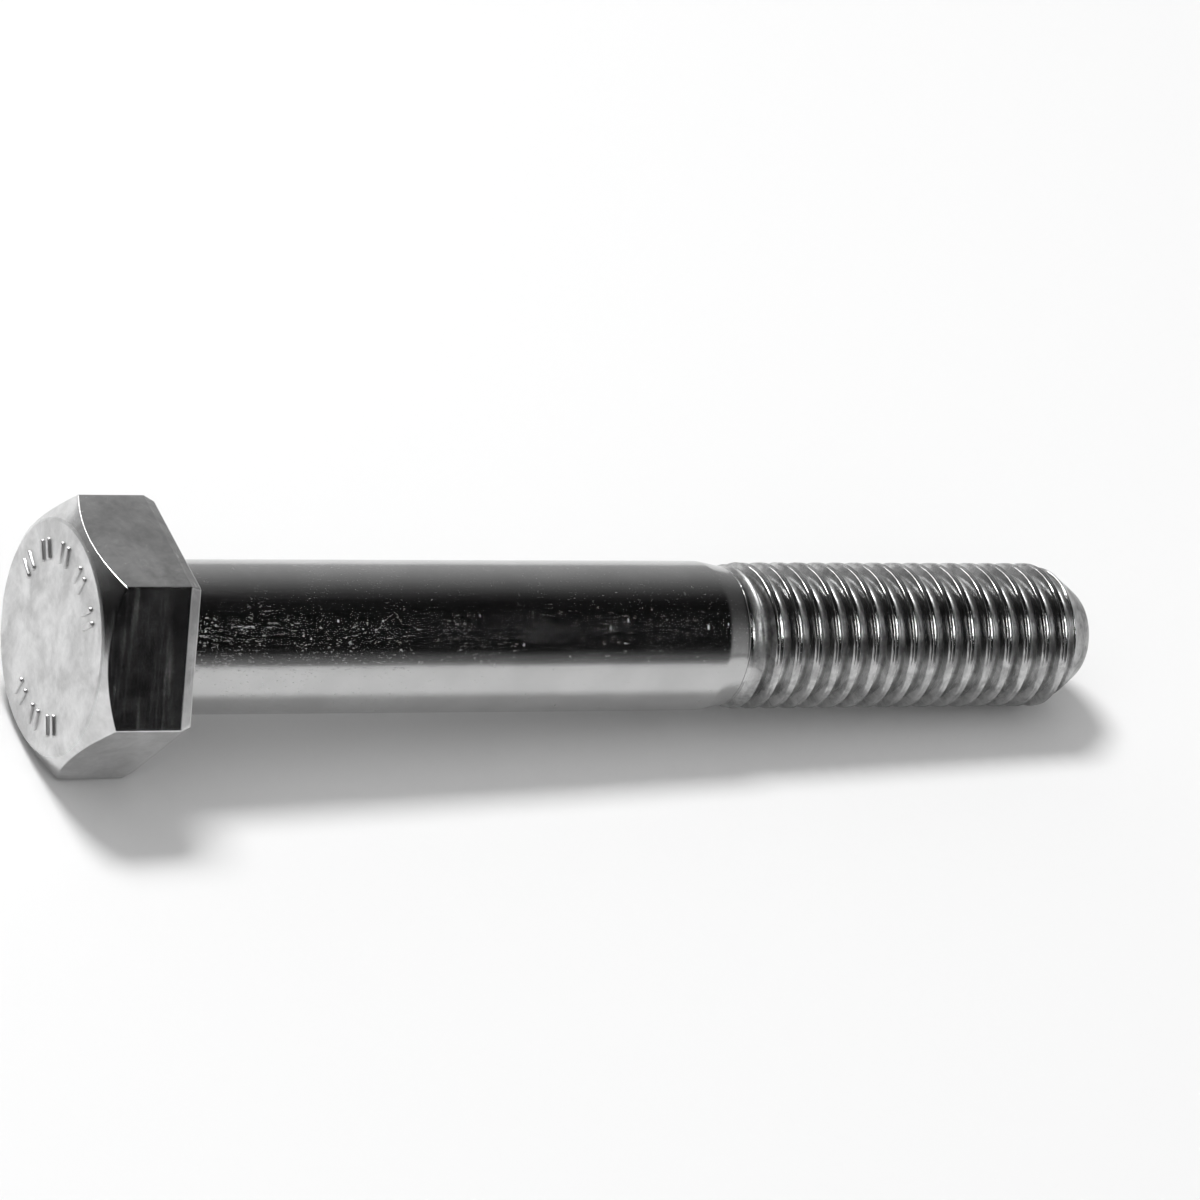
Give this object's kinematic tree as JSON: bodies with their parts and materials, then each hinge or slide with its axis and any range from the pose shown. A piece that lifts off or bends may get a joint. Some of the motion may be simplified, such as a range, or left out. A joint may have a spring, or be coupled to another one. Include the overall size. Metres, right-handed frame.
{
  "type": "hexagon head bolt",
  "caption": "Partly threaded steel hexagon head bolt with a plain polished shank, a right-hand coarse rolled thread and a chamfered tip.",
  "frame": {"origin": "centre of the bearing face under the head, on the bolt's axis", "axes": "+X along the axis from the bearing face to the threaded tip, +Z out of the flat that faces up"},
  "size_m": [0.077, 0.0182, 0.0158],
  "materials": {
    "forged_steel": "satin, cold-forged, slightly mottled",
    "polished_steel": "polished, with fine scratches",
    "rolled_steel": "bright, thread-rolled"
  },
  "bodies": {
    "root": {"hex_head": "forged_steel", "plain_shank": "polished_steel", "threaded_end": "rolled_steel"}
  },
  "joints": []
}
